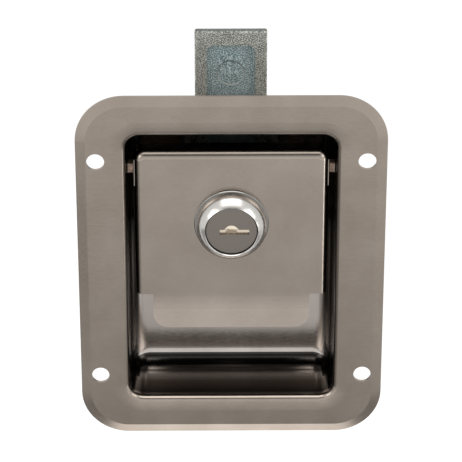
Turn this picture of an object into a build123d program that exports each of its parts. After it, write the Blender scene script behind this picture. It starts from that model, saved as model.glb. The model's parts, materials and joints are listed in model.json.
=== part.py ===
"""Flush paddle latch, single point, keyed: a drawn pan, a hinged paddle and a sprung slam bolt.

Millimetres. X runs to the right, Y rearwards into the door, Z up. The origin is the centre
of the four mounting holes, on the rear face of the flange. A lock cylinder in the paddle
turns a cam that hooks behind the pan floor.
"""
from build123d import *
import os
from math import asin, atan2, cos, degrees, radians, sin, tan

# ---- pan: one drawn sheet, flange and recess -------------------------------------------
sheet = 1.2
flange_corner_r = 17.5
border_width = 3.6          # outer border of the flange, bent back to seal on the door
border_drop = 1.1
rim_flat = 0.35             # how much of the border's rear edge is dressed flat
hole_inset_x = 7.15         # mounting holes from the flange's edges
hole_inset_z = 25.4
mount_hole_r = 3.2
mouth_width = 75.6
mouth_height = 108.8
rim_side = 17.75            # flange beside the mouth, 111.1 wide over all
rim_end = 15.45             # flange above and below the mouth, 139.7 high over all
mouth_corner_r = 5.5
mouth_roll_r = 2.0
draw_in_width = 4.0         # soft dish that leads from the flange into the mouth
draw_in_depth = 0.45
draw_in_r = 30.0
pan_depth = 25.4            # flange front to floor
pan_draft = 1.5             # degrees
floor_r = 6.5

# ---- paddle: formed sheet --------------------------------------------------------------
paddle_sheet = 1.5
paddle_recess = 3.0         # paddle face behind the flange front
paddle_side_gap = 2.9       # paddle inside the mouth
paddle_top_gap = 7.4
shoulder_below_lock = 29.6
paddle_corner_r = 4.0
paddle_bend_r = 3.0
paddle_flange = 7.0
tab_inset = 6.325           # tab inside the paddle's shoulders
tab_drop = 13.55            # tab below the paddle's shoulders
tab_corner_r = 5.5
tab_bend_r = 60.0
tab_tilt = 5.0              # degrees, the tab leans out of the pan
shoulder_r = 1.0

# ---- hinge -----------------------------------------------------------------------------
pin_r = 2.4
pin_below_top = 9.4         # pin centre below the paddle's top edge
pin_setback = 7.0           # pin centre behind the paddle face
pin_head_r = 3.9
pin_head_t = 1.6
pin_end = 2.6               # pin past the pan wall at its ring
ring_r = 4.6
ring_t = 0.8
ear_r = 5.2
running = 0.05              # radial clearance of a pin that turns

# ---- drive lever and travel ------------------------------------------------------------
paddle_swing = 38.0         # degrees
lever_reach = 20.5          # hinge pin to lever tip
lever_guide_gap = 1.2       # lever to the bolt's outer guide rails
lever_bolt_gap = 2.0        # lever to the side of the bolt
lever_sheet = 1.8
lever_tip_r = 3.5
lever_below_pin = 6.6
lever_above_pin = 6.8
lever_bend_r = 2.4

# ---- slam bolt -------------------------------------------------------------------------
bolt_depth = 12.0
bolt_projection = 13.3      # past the top edge of the flange
bolt_land = 2.4             # flat tip in front of the slam bevel
bevel_height = 13.5
bolt_edge_r = 0.8
pocket_depth = 2.0
pocket_border = 5.8         # above the pocket
pocket_side = 4.3           # beside the pocket
pocket_corner_r = 2.6
mark_r = 4.8
mark_lift = 0.25
mark_drop = 8.6             # centre of the round mark below the top of the pocket
strike_height = 28.0        # raised face at the tip, which bears on the door frame
heel_height = 7.5           # below the lever's shelves
heel_lead = 1.5             # bevel along the front of the lever's shelves
guide_rise = 8.5            # outer guide rail above the lever's shelf
guide_thickness = 2.6

# ---- bolt housing, springs and rivets --------------------------------------------------
housing_sheet = 1.5
housing_bend_r = 3.0
foot_width = 9.2
foot_inset = 4.5            # feet shorter than the box at its bottom
foot_top_inset = 10.6       # and at its top, so that the paddle hides the rivets
foot_corner_r = 4.0
rivet_r = 1.6
rivet_head_r = 3.2
rivet_head_t = 1.1
rivet_inset = 4.6
spring_wire = 1.2
spring_r = 3.8
spring_turns = 6
spring_length = 36.0
spigot_height = 2.4

# ---- return spring of the paddle -------------------------------------------------------
coil_wire = 1.4
coil_turns = 4
coil_lever_gap = 3.2        # first turn of the coil beside the lever
front_leg = 15.0
rear_leg = 28.0
wire_sides = 5
coil_step = 30.0            # degrees from one section of a coil to the next

# ---- lock ------------------------------------------------------------------------------
lock_below_pin = 19.6
trim_r = 13.45
trim_t = 0.8
dome_rise = 7.0             # head above the paddle face
dome_base_r = 12.6
dome_shoulder_r = 12.3
dome_shoulder_rise = 4.2
dome_top_r = 10.4
dome_round_r = 3.6
body_r = 9.5
body_flats = 17.2
body_rear_gap = 1.6         # rear of the lock body to the pan floor
lock_hole_clearance = 0.15
plug_face_r = 9.35
plug_recess = 1.0
plug_fit = 0.08
face_plate = 0.9
barrel_r = 7.5
boss_r = 4.75
tail_side = 6.4
nut_wall = 1.6              # from the thread to the nut's flats
nut_t = 3.0
nut_washer_r = 12.2
nut_washer_t = 0.8
clip_r = 7.2
clip_t = 0.7
clip_bite = 0.4             # depth of the ring's groove in the plug's boss
cam_reach = 17.0
cam_r = 5.5
cam_t = 1.5
cam_taper = 1.5
cam_washer_r = 4.0
cam_washer_t = 0.6
screw_r = 1.9
screw_head_r = 3.6
screw_head_t = 2.0
screw_depth = 8.0
screw_slot = 0.8
slot_left = 4.2
slot_right = 6.4
slot_height = 2.0
slot_drop = 0.5             # key slot below the plug's centre
relief_r = 2.75
shutter_t = 0.5
shutter_pin_r = 0.4
shutter_knuckle_r = 0.8
shutter_pin_z = 2.75        # above the plug's centre
shutter_overlap = 0.3
shutter_pin_hold = 0.6
shutter_swing_room = 1.9    # above the plug's centre, behind its head
wafer_count = 5
wafer_t = 1.1
wafer_pitch = 2.6
wafer_width = 10.4
wafer_height = 7.6
wafer_first = 4.0           # first wafer behind the plug's head
key_width = 7.6

# ---- clearances ------------------------------------------------------------------------
seat_gap = 0.1
slide_gap = 0.2
play = 0.3
wide_gap = 0.6

# ---- places worked out from the sizes above --------------------------------------------
flange_width = mouth_width + 2 * rim_side
flange_height = mouth_height + 2 * rim_end
hole_span_x = flange_width - 2 * hole_inset_x
hole_span_z = flange_height - 2 * hole_inset_z
paddle_width = mouth_width - 2 * paddle_side_gap
tab_width = paddle_width - 2 * tab_inset
paddle_top = mouth_height / 2 - paddle_top_gap
pin_z = paddle_top - pin_below_top
lock_z = pin_z - lock_below_pin
paddle_shoulder = lock_z - shoulder_below_lock
front_y = -sheet
floor_y = front_y + pan_depth
back_y = floor_y + sheet
paddle_y = front_y + paddle_recess
paddle_back_y = paddle_y + paddle_sheet
pin_y = paddle_y + pin_setback
seat_y = border_drop - rim_flat
half_swing = paddle_swing / 2
tip_y = pin_y + lever_reach * cos(radians(half_swing))
tip_z = pin_z + lever_reach * sin(radians(half_swing))
bolt_travel = 2 * lever_reach * sin(radians(half_swing))
shelf_z = tip_z - lever_tip_r - play
bolt_y = back_y + slide_gap
bolt_back_y = bolt_y + bolt_depth
bolt_top = flange_height / 2 + bolt_projection
pocket_top = bolt_top - pocket_border
cam_y = back_y + play + slide_gap
cam_back_y = cam_y + cam_t
heel_y = cam_back_y + play + seat_gap
fork_z = lock_z + cam_r + bolt_travel + play
floor_half = mouth_width / 2 - pan_depth * tan(radians(pan_draft)) - floor_r
rivet_x = floor_half - rivet_head_r - play
foot_x = rivet_x - rivet_inset
housing_half = foot_x - housing_sheet
heel_half = housing_half - 2 * slide_gap
heel_bottom = shelf_z - heel_height
lever_span = 2 * (heel_half - guide_thickness - lever_guide_gap)
bolt_width = lever_span - 2 * (lever_sheet + lever_bolt_gap)
pocket_width = bolt_width - 2 * pocket_side
guide_top = shelf_z + guide_rise
housing_bottom = heel_bottom - spring_length
housing_top = guide_top + seat_gap
housing_back_y = bolt_back_y + slide_gap
spring_x = heel_half - spring_r
spring_y = housing_back_y - slide_gap - seat_gap - spring_r
spigot_r = spring_r - spring_wire - slide_gap
dome_y = paddle_y - dome_rise
dome_foot_y = paddle_y - trim_t
body_back_y = floor_y - body_rear_gap
plug_y = dome_y + plug_recess
bore_y = dome_foot_y - 0.7 * trim_t
slot_x = (slot_right - slot_left) / 2
slot_width = slot_right + slot_left
slot_z = lock_z - slot_drop
tab_bottom = paddle_shoulder - tab_drop


def slab(outline, y_front, y_rear):
    """Extrude an outline drawn in X and Z between two depths."""
    return extrude(Plane.XZ.offset(-y_rear) * outline, amount=y_rear - y_front)


def across(outline, x_left, x_right):
    """Extrude an outline drawn in Y and Z between two sides."""
    return extrude(Plane.YZ.offset(x_left) * outline, amount=x_right - x_left)


def box(x, y, z):
    """Box from its three (low, high) spans."""
    centre = [(low + high) / 2 for low, high in (x, y, z)]
    return Pos(*centre) * Box(x[1] - x[0], y[1] - y[0], z[1] - z[0])


def rod(radius, y_front, y_rear, x=0.0, z=0.0):
    """Round bar along Y."""
    return slab(Pos(x, z) * Circle(radius), y_front, y_rear)


def bar(radius, x_left, x_right, y, z):
    """Round bar along X."""
    return across(Pos(y, z) * Circle(radius), x_left, x_right)


def corners(span_x, span_z):
    """The four corners of a rectangle about the origin."""
    return [(x * span_x / 2, z * span_z / 2) for x in (-1, 1) for z in (-1, 1)]


def edges_at(shape, y, tolerance=0.01):
    """Edges that lie wholly in one plane across the depth."""
    def flat(edge):
        bounds = edge.bounding_box()
        return abs(bounds.min.Y - y) < tolerance and abs(bounds.max.Y - y) < tolerance
    return shape.edges().filter_by(flat)


def within(edges, half_x, half_z):
    """Edges inside a rectangle about the origin."""
    def inside(edge):
        bounds = edge.bounding_box()
        return max(-bounds.min.X, bounds.max.X) < half_x and max(-bounds.min.Z, bounds.max.Z) < half_z
    return edges.filter_by(inside)


# ---- pan -------------------------------------------------------------------------------
def dished_flange(y):
    """Solid in front of a dished sheet face whose flat part lies at depth y."""
    flat = RectangleRounded(flange_width - 2 * border_width, flange_height - 2 * border_width,
                            flange_corner_r - border_width)
    full = RectangleRounded(flange_width, flange_height, flange_corner_r)
    slope = loft([Plane.XZ.offset(-y) * flat, Plane.XZ.offset(-y - border_drop) * full], ruled=True)
    return slope + slab(full, y + border_drop, y + 2 * pan_depth)


def tub(grow, depth, corner_r):
    """Tapered recess, grown outwards by a wall and rounded at its floor."""
    mouth = RectangleRounded(mouth_width + 2 * grow, mouth_height + 2 * grow, mouth_corner_r + grow)
    start = Plane(origin=(0, front_y, 0), x_dir=(1, 0, 0), z_dir=(0, 1, 0))
    solid = extrude(start * mouth, amount=depth, taper=pan_draft)
    return fillet(edges_at(solid, front_y + depth), corner_r)


def draw_in(y, grow):
    """Shallow frustum of the soft dish, from the flange to just inside the recess wall."""
    inner, outer = grow - sheet, grow + draw_in_width
    depth = draw_in_depth * (outer - inner) / draw_in_width
    small = RectangleRounded(mouth_width + 2 * inner, mouth_height + 2 * inner, mouth_corner_r + inner)
    large = RectangleRounded(mouth_width + 2 * outer, mouth_height + 2 * outer, mouth_corner_r + outer)
    return loft([Plane.XZ.offset(-y) * large, Plane.XZ.offset(-y - depth) * small], ruled=True)


def wall_x(y):
    """Inside face of the pan's side wall at a depth."""
    return mouth_width / 2 - (y - front_y) * tan(radians(pan_draft))


window_half = lever_span / 2 + 4 * play
arm_fall = (back_y - pin_y) * tan(radians(half_swing)) + lever_tip_r / cos(radians(half_swing))
window_low = pin_z - arm_fall - 2 * play
cam_slot_half = cam_r + 3 * wide_gap
cam_slot_low = lock_z - cam_reach - 6 * wide_gap
cam_slot_high = lock_z + cam_r + wide_gap


def lever_outline(grow=0.0):
    """Arm of the drive lever, from its hinge boss to its tip."""
    boss = Pos(pin_y, pin_z) * Circle(ear_r + grow)
    tip = Pos(tip_y, tip_z) * Circle(lever_tip_r + grow)
    return make_hull(boss.edges() + tip.edges())


def arm_top(y):
    """Height of the lever's upper edge at a depth."""
    fall = degrees(asin((ear_r - lever_tip_r) / lever_reach))
    slope = radians(half_swing - fall)
    return pin_z + (y - pin_y) * tan(slope) + ear_r / cos(slope)


window_high = arm_top(floor_y + sheet) + play
foot_low = housing_bottom + foot_inset
foot_high = housing_top - foot_top_inset
rivet_z = (foot_low + rivet_inset, foot_high - rivet_inset)


def make_pan():
    opened = tub(0, pan_depth, floor_r)
    flange = dished_flange(front_y) - dished_flange(front_y + sheet)
    flange &= slab(Rectangle(flange_width, flange_height), front_y, seat_y)
    pan = flange + draw_in(0, sheet) + tub(sheet, pan_depth + sheet, floor_r + sheet)
    near_x, near_z = mouth_width / 2 + 2 * sheet, mouth_height / 2 + 2 * sheet
    pan = fillet(within(edges_at(pan, draw_in_depth, seat_gap), near_x, near_z), mouth_roll_r - sheet)
    pan -= opened + draw_in(front_y, 0)
    pan = fillet(within(edges_at(pan, front_y), near_x + draw_in_width, near_z + draw_in_width), draw_in_r)
    pan = fillet(within(edges_at(pan, front_y + draw_in_depth, seat_gap), near_x, near_z), mouth_roll_r)
    for x, z in corners(hole_span_x, hole_span_z):
        pan -= rod(mount_hole_r, front_y - play, seat_y, x, z)
    pan -= bar(pin_r, -flange_width / 2, flange_width / 2, pin_y, pin_z)
    window = RectangleRounded(2 * window_half, window_high - window_low, 2 * play)
    pan -= slab(Pos(0, (window_high + window_low) / 2) * window, floor_y - seat_gap, back_y + seat_gap)
    cam_slot = RectangleRounded(2 * cam_slot_half, cam_slot_high - cam_slot_low, cam_r)
    pan -= slab(Pos(0, (cam_slot_high + cam_slot_low) / 2) * cam_slot, floor_y - seat_gap, back_y + seat_gap)
    for x in (-rivet_x, rivet_x):
        for z in rivet_z:
            pan -= rod(rivet_r, floor_y - seat_gap, back_y + seat_gap, x, z)
    return pan


# ---- paddle ----------------------------------------------------------------------------
def paddle_shell(inset, y_front, bend_r):
    """Body of the paddle with its sides and top turned back, open at its foot."""
    half = paddle_width / 2 - inset
    top = paddle_top - inset
    low = paddle_shoulder - (2 * paddle_bend_r if inset else 0)
    outline = Pos(0, (top + low) / 2) * Rectangle(2 * half, top - low)
    upper = outline.vertices().group_by(Axis.Y)[-1]
    y_rear = paddle_y + paddle_flange + (2 * play if inset else 0)
    solid = slab(fillet(upper, paddle_corner_r - inset), y_front, y_rear)
    turned = edges_at(solid, y_front).filter_by(lambda edge: edge.center().Z > low + seat_gap)
    return fillet(turned, bend_r)


def tab_sheet():
    """Side view of the paddle's face where it runs down into the tilted tab."""
    tilt = radians(tab_tilt)
    centre = (paddle_y - tab_bend_r, paddle_shoulder - shoulder_r)
    front = CenterArc(centre, tab_bend_r, 0, -tab_tilt)
    rear = CenterArc(centre, tab_bend_r + paddle_sheet, 0, -tab_tilt)
    run = ((front @ 1).Y - tab_bottom) / cos(tilt)
    down = Vector(-sin(tilt), -cos(tilt)) * (run + paddle_sheet)
    top_z = paddle_shoulder + 2 * tab_corner_r
    return make_face([Line((paddle_y, top_z), front @ 0), front, Line(front @ 1, (front @ 1) + down),
                      Line((front @ 1) + down, (rear @ 1) + down), Line((rear @ 1) + down, rear @ 1), rear,
                      Line(rear @ 0, (paddle_back_y, top_z)),
                      Line((paddle_back_y, top_z), (paddle_y, top_z))])


def make_paddle():
    shell = paddle_shell(0, paddle_y, paddle_bend_r)
    shell -= paddle_shell(paddle_sheet, paddle_back_y, paddle_bend_r - paddle_sheet)
    tab_top = paddle_shoulder + 2 * tab_corner_r
    outline = Pos(0, (tab_top + tab_bottom) / 2) * Rectangle(tab_width, tab_top - tab_bottom)
    outline = fillet(outline.vertices().group_by(Axis.Y)[0], tab_corner_r)
    tab = across(tab_sheet(), -tab_width / 2, tab_width / 2)
    tab &= slab(outline, front_y - paddle_sheet, floor_y)
    paddle = shell + tab
    for side in (-1, 1):
        inner = side * (paddle_width / 2 - paddle_sheet)
        outer = side * paddle_width / 2
        ear = Pos(pin_y, pin_z) * Circle(ear_r)
        ear += Pos(pin_y - ear_r / 2, pin_z) * Rectangle(ear_r, 2 * ear_r)
        paddle += across(ear, min(inner, outer), max(inner, outer))
    paddle -= bar(pin_r + running, -paddle_width, paddle_width, pin_y, pin_z)
    lock_hole = Circle(body_r + lock_hole_clearance)
    lock_hole &= Rectangle(4 * body_r, body_flats + 2 * lock_hole_clearance)
    return paddle - slab(Pos(0, lock_z) * lock_hole, paddle_y - play, paddle_back_y + play)


def make_drive_lever():
    """U-shaped bracket welded behind the paddle; its two arms push the bolt down."""
    half = lever_span / 2
    lever_low, lever_high = pin_z - lever_below_pin, pin_z + lever_above_pin
    base = box((-half, half), (paddle_back_y, pin_y), (lever_low, lever_high))
    base = fillet(base.edges().filter_by(Axis.Z).group_by(Axis.Y)[0], lever_bend_r)
    inner = box((lever_sheet - half, half - lever_sheet), (paddle_back_y + lever_sheet, pin_y),
                (lever_low, lever_high))
    inner = fillet(inner.edges().filter_by(Axis.Z).group_by(Axis.Y)[0], lever_bend_r - lever_sheet)
    lever = base - inner
    for side in (-1, 1):
        x = side * (half - lever_sheet / 2)
        lever += across(lever_outline(), x - lever_sheet / 2, x + lever_sheet / 2)
    clear = box((-half, half), (front_y, paddle_back_y), (lever_low - ear_r, lever_high + ear_r))
    return lever - clear - bar(pin_r + running, -half, half, pin_y, pin_z)


def make_hinge_pin():
    reach = wall_x(pin_y - pin_head_r) + sheet
    pin = bar(pin_r, -reach, reach + pin_end, pin_y, pin_z)
    head = bar(pin_head_r, -reach - pin_head_t, -reach, pin_y, pin_z)
    return pin + chamfer(head.edges().group_by(Axis.X)[0], pin_head_t / 3)


def make_hinge_pin_ring():
    start = wall_x(pin_y - ring_r) + sheet
    return bar(ring_r, start, start + ring_t, pin_y, pin_z) - bar(pin_r, start, start + ring_t, pin_y, pin_z)


def bent_wire(points, wire):
    """Spring wire with a many-sided section, mitred along a chain of short straight lengths."""
    path = Polyline(*points)
    section = Plane(origin=path @ 0, z_dir=path % 0) * RegularPolygon(wire / 2, wire_sides)
    return sweep(section, path=path, transition=Transition.RIGHT)


def leg_angle(reach, coil_r, length):
    """Slope of a spring leg that leaves its coil at a tangent and ends a reach away."""
    return degrees(asin(reach / (coil_r ** 2 + length ** 2) ** 0.5) - atan2(coil_r, length))


def make_paddle_spring():
    """Torsion spring on the hinge pin, one leg behind the paddle and one to the pan floor."""
    coil_r = pin_r + play + coil_wire / 2
    front_reach = pin_y - paddle_back_y - coil_wire / 2 - seat_gap
    rear_reach = floor_y - pin_y - coil_wire / 2 - seat_gap
    front_slope = leg_angle(front_reach, coil_r, front_leg)
    rear_slope = leg_angle(rear_reach, coil_r, rear_leg)
    sweep_angle = 180 - front_slope - rear_slope + 360 * coil_turns
    steps = round(sweep_angle / coil_step)
    advance = (coil_wire + slide_gap) / 360
    coil_x = lever_span / 2 + coil_lever_gap
    points = []
    for step in range(steps + 1):
        turned = sweep_angle * step / steps
        angle = radians(180 - front_slope - turned)
        y, z = pin_y + coil_r * cos(angle), pin_z + coil_r * sin(angle)
        points.append(Vector(coil_x + turned * advance, y, z))
    front = Vector(0, -sin(radians(front_slope)), -cos(radians(front_slope)))
    rear = Vector(0, sin(radians(rear_slope)), -cos(radians(rear_slope)))
    return bent_wire([points[0] + front * front_leg, *points, points[-1] + rear * rear_leg], coil_wire)


# ---- bolt ------------------------------------------------------------------------------
def make_heel():
    """Forked heel of the bolt: shelves for the lever, outer guide rails and spring spigots."""
    heel_back_y = bolt_back_y - seat_gap
    heel = box((-heel_half, heel_half), (heel_y, heel_back_y), (heel_bottom, shelf_z))
    heel = chamfer(heel.edges().filter_by(Axis.X).group_by(Axis.Y)[0].sort_by(Axis.Z)[-1], heel_lead)
    rail = box((heel_half - guide_thickness, heel_half), (heel_y, heel_back_y), (heel_bottom, guide_top))
    heel += rail + mirror(rail, Plane.YZ)
    rear = heel.edges().filter_by(Axis.Z).group_by(Axis.Y)[-1].group_by(Axis.X)
    top = heel.edges().filter_by(Axis.X).group_by(Axis.Z)[-1].group_by(Axis.Y)[-1]
    heel = chamfer(rear[0] + rear[-1] + top, housing_bend_r - housing_sheet)
    for x in (-spring_x, spring_x):
        heel += Pos(x, spring_y, heel_bottom - spigot_height / 2) * Cylinder(spigot_r, spigot_height)
    fork = pocket_width / 2
    return heel - box((-fork, fork), (heel_y, heel_back_y), (heel_bottom, fork_z))


def make_bolt():
    """Cast slam bolt: a bevelled bar with a pocket in its front, on a winged heel."""
    side = Polyline((bolt_y, fork_z), (bolt_y, bolt_top), (bolt_y + bolt_land, bolt_top),
                    (bolt_back_y, bolt_top - bevel_height), (bolt_back_y, fork_z), close=True)
    profile = make_face(side)
    profile = fillet(profile.vertices().group_by(Axis.Y)[-1], bolt_edge_r)
    shank = across(profile, -bolt_width / 2, bolt_width / 2)
    bolt = fillet(shank.edges().filter_by(Axis.Z), bolt_edge_r) + make_heel()
    strike_low = bolt_top - strike_height
    bolt -= box((-bolt_width, bolt_width), (bolt_y, bolt_y + slide_gap), (heel_bottom, strike_low))
    pocket_low = heel_bottom - play
    pocket = Pos(0, (pocket_top + pocket_low) / 2) * Rectangle(pocket_width, pocket_top - pocket_low)
    pocket = fillet(pocket.vertices().group_by(Axis.Y)[-1], pocket_corner_r)
    bolt -= slab(pocket, bolt_y, bolt_y + pocket_depth)
    mark_back_y = bolt_y + pocket_depth
    return bolt + rod(mark_r, mark_back_y - mark_lift, mark_back_y, z=pocket_top - mark_drop)


def make_bolt_housing():
    """Stamped box riveted behind the pan floor; it guides the bolt and seats its springs."""
    wall = housing_sheet
    outer = box((-foot_x, foot_x), (back_y, housing_back_y + wall),
                (housing_bottom - wall, housing_top + wall))
    inner = box((-housing_half, housing_half), (back_y, housing_back_y), (housing_bottom, housing_top))
    outer = fillet(outer.edges().group_by(Axis.Y)[-1], housing_bend_r)
    inner = fillet(inner.edges().group_by(Axis.Y)[-1], housing_bend_r - wall)
    foot = RectangleRounded(2 * (foot_x + foot_width), foot_high - foot_low, foot_corner_r)
    housing = outer + slab(Pos(0, (foot_high + foot_low) / 2) * foot, back_y, back_y + wall) - inner
    throat = bolt_width / 2 + slide_gap
    housing -= box((-throat, throat), (back_y, bolt_back_y + slide_gap),
                   (housing_top - wall, housing_top + 2 * wall))
    for x in (-rivet_x, rivet_x):
        for z in rivet_z:
            housing -= rod(rivet_r, back_y, back_y + wall, x, z)
    for x in (-spring_x, spring_x):
        housing += Pos(x, spring_y, housing_bottom + spigot_height / 2) * Cylinder(spigot_r, spigot_height)
    return housing


def make_rivets():
    rivets = []
    for x in (-rivet_x, rivet_x):
        for z in rivet_z:
            rear_y = back_y + housing_sheet
            half = Polyline((0, floor_y - rivet_head_t), (rivet_r, floor_y - rivet_head_t),
                            (rivet_head_r, floor_y), (rivet_r, floor_y), (rivet_r, rear_y),
                            (rivet_head_r, rear_y), (rivet_r, rear_y + rivet_head_t),
                            (0, rear_y + rivet_head_t), close=True)
            rivets.append(Pos(x, 0, z) * revolve(make_face(half), Axis.Y))
    return Compound(rivets)


def make_bolt_spring(x):
    """Compression spring between the housing's foot and one wing of the bolt's heel."""
    coil_r = spring_r - spring_wire / 2
    low = housing_bottom + spring_wire / 2
    rise = spring_length - spring_wire
    steps = round(360 * spring_turns / coil_step)
    points = []
    for step in range(steps + 1):
        angle = radians(360 * spring_turns * step / steps)
        points.append((x + coil_r * cos(angle), spring_y + coil_r * sin(angle), low + rise * step / steps))
    return bent_wire(points, spring_wire)


# ---- lock ------------------------------------------------------------------------------
head_back_y = bore_y - seat_gap
shutter_front_y = plug_y + face_plate + running
shutter_pin_y = shutter_front_y + shutter_knuckle_r
shutter_low = lock_z - slot_drop - slot_height / 2 - shutter_overlap
hinge_z = lock_z + shutter_pin_z
shutter_left = slot_x - slot_width / 2 - shutter_overlap
shutter_right = slot_x + slot_width / 2 + shutter_overlap


def ring(outer_r, inner_r, y_front, y_rear):
    """Washer round the lock's axis."""
    return rod(outer_r, y_front, y_rear, z=lock_z) - rod(inner_r, y_front, y_rear, z=lock_z)


def make_lock_body():
    """Die-cast lock body: plated dome, threaded barrel with two flats, bored for the plug."""
    shoulder_y = paddle_y - dome_shoulder_rise
    crown = RadiusArc((dome_top_r, dome_y), (dome_shoulder_r, shoulder_y), dome_round_r)
    outline = [Line((0, dome_y), (dome_top_r, dome_y)), crown,
               Polyline((dome_shoulder_r, shoulder_y), (dome_base_r, dome_foot_y), (body_r, dome_foot_y),
                        (body_r, body_back_y), (0, body_back_y), (0, dome_y))]
    body = Pos(0, 0, lock_z) * revolve(make_face(outline), Axis.Y)
    for side in (-1, 1):
        flat_z = lock_z + side * (body_flats / 2 + body_r / 2)
        body -= slab(Pos(0, flat_z) * Rectangle(2 * body_r, body_r), dome_foot_y, body_back_y)
    body -= rod(plug_face_r + plug_fit, dome_y, bore_y, z=lock_z)
    return body - rod(barrel_r + plug_fit, bore_y, body_back_y, z=lock_z)


def key_slot():
    """Key slot in the face of the plug, with a half-round relief above it."""
    slot = Pos(slot_x, slot_z) * Rectangle(slot_width, slot_height)
    relief = Pos(0, slot_z) * Circle(relief_r)
    relief &= Pos(0, slot_z + relief_r / 2) * Rectangle(2 * relief_r, relief_r)
    return slot + relief


def make_lock_plug():
    """Plug: wide face over a slotted barrel, a round boss and a square tail for the cam."""
    plug = rod(plug_face_r, plug_y, head_back_y, z=lock_z)
    plug += rod(barrel_r, head_back_y, body_back_y, z=lock_z)
    plug += rod(boss_r, body_back_y, cam_y, z=lock_z)
    plug += slab(Pos(0, lock_z) * Rectangle(tail_side, tail_side), cam_y, cam_back_y - seat_gap)
    plug -= slab(key_slot(), plug_y, plug_y + face_plate)
    left, right = shutter_left - 2 * seat_gap, shutter_right + 2 * seat_gap
    low, high = shutter_low - 2 * seat_gap, hinge_z + shutter_knuckle_r + seat_gap
    plug -= box((left, right), (plug_y + face_plate, head_back_y), (low, high))
    swing_back = shutter_pin_y + hinge_z - shutter_low + seat_gap
    key_low, key_high = slot_z - slot_height / 2, slot_z + slot_height / 2
    plug -= box((left, right), (head_back_y, swing_back), (key_low, lock_z + shutter_swing_room))
    last_wafer = head_back_y + wafer_first + (wafer_count - 1) * wafer_pitch
    plug -= box((slot_x - key_width / 2, slot_x + key_width / 2), (head_back_y, last_wafer + wafer_pitch),
                (key_low, key_high))
    for y in wafer_places():
        room = (wafer_t + seat_gap) / 2
        plug -= box((slot_x - wafer_width / 2 - running, slot_x + wafer_width / 2 + running),
                    (y - room, y + room), (lock_z - barrel_r, lock_z + barrel_r))
    plug -= bar(shutter_pin_r, left - shutter_pin_hold, right + shutter_pin_hold, shutter_pin_y, hinge_z)
    plug -= ring(boss_r, boss_r - clip_bite, body_back_y + seat_gap, body_back_y + seat_gap + clip_t)
    return plug - rod(screw_r, cam_back_y - screw_depth, cam_back_y, z=lock_z)


def wafer_places():
    """Depths of the wafers along the barrel."""
    return [head_back_y + wafer_first + index * wafer_pitch for index in range(wafer_count)]


def make_wafers():
    plate = Pos(slot_x, lock_z) * Rectangle(wafer_width, wafer_height)
    plate -= Pos(slot_x, slot_z) * Rectangle(key_width + 2 * slide_gap, slot_height + 2 * play)
    return Compound([slab(plate, y - wafer_t / 2, y + wafer_t / 2) for y in wafer_places()])


def make_keyway_shutter():
    """Brass flap that hangs behind the key slot and swings inwards."""
    shutter_back_y = shutter_front_y + shutter_t
    flap = box((shutter_left, shutter_right), (shutter_front_y, shutter_back_y), (shutter_low, hinge_z))
    flap += bar(shutter_knuckle_r, shutter_left, shutter_right, shutter_pin_y, hinge_z)
    return flap - bar(shutter_pin_r + running, shutter_left, shutter_right, shutter_pin_y, hinge_z)


def make_shutter_pin():
    hold = 2 * seat_gap + shutter_pin_hold
    return bar(shutter_pin_r, shutter_left - hold, shutter_right + hold, shutter_pin_y, hinge_z)


def make_lock_trim_ring():
    trim = rod(trim_r, dome_foot_y, paddle_y, z=lock_z)
    trim = chamfer(edges_at(trim, dome_foot_y), trim_t / 3)
    return trim - rod(body_r + lock_hole_clearance, dome_foot_y, paddle_y, z=lock_z)


def make_lock_nut():
    start = paddle_back_y + nut_washer_t
    across_corners = 2 * (body_r + nut_wall) / cos(radians(30))
    nut = slab(Pos(0, lock_z) * RegularPolygon(across_corners / 2, 6), start, start + nut_t)
    return nut - rod(body_r, start, start + nut_t, z=lock_z)


def make_lock_cam():
    """Flat cam on the plug's square tail; it hangs down when unlocked."""
    tip_r = cam_r - cam_taper
    hub = Pos(0, lock_z) * Circle(cam_r)
    tip = Pos(0, lock_z - cam_reach + tip_r) * Circle(tip_r)
    cam = make_hull(hub.edges() + tip.edges()) - Pos(0, lock_z) * Rectangle(tail_side, tail_side)
    return slab(cam, cam_y, cam_back_y)


def make_cam_screw():
    seat = cam_back_y + cam_washer_t
    head = rod(screw_head_r, seat, seat + screw_head_t, z=lock_z)
    head = chamfer(edges_at(head, seat + screw_head_t), screw_head_t / 3)
    for width, height in ((screw_head_r, screw_slot), (screw_slot, screw_head_r)):
        head -= slab(Pos(0, lock_z) * Rectangle(width, height), seat + screw_head_t / 2, seat + screw_head_t)
    return head + rod(screw_r, cam_back_y - screw_depth, seat, z=lock_z)


washer_y = paddle_back_y + nut_washer_t
clip_y = body_back_y + seat_gap
parts = {
    "pan": make_pan(),
    "paddle": make_paddle(),
    "drive_lever": make_drive_lever(),
    "hinge_pin": make_hinge_pin(),
    "hinge_pin_ring": make_hinge_pin_ring(),
    "paddle_spring": make_paddle_spring(),
    "slam_bolt": make_bolt(),
    "bolt_housing": make_bolt_housing(),
    "housing_rivets": make_rivets(),
    "bolt_spring_left": make_bolt_spring(-spring_x),
    "bolt_spring_right": make_bolt_spring(spring_x),
    "lock_body": make_lock_body(),
    "lock_trim_ring": make_lock_trim_ring(),
    "lock_washer": ring(nut_washer_r, body_r + lock_hole_clearance, paddle_back_y, washer_y),
    "lock_nut": make_lock_nut(),
    "lock_plug": make_lock_plug(),
    "wafer_tumblers": make_wafers(),
    "keyway_shutter": make_keyway_shutter(),
    "shutter_pin": make_shutter_pin(),
    "plug_retaining_ring": ring(clip_r, boss_r - clip_bite, clip_y, clip_y + clip_t),
    "lock_cam": make_lock_cam(),
    "cam_washer": ring(cam_washer_r, screw_r, cam_back_y, cam_back_y + cam_washer_t),
    "cam_screw": make_cam_screw(),
}

os.makedirs("parts", exist_ok=True)
for name, shape in parts.items():
    export_step(shape, f"parts/{name}.step")
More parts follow.
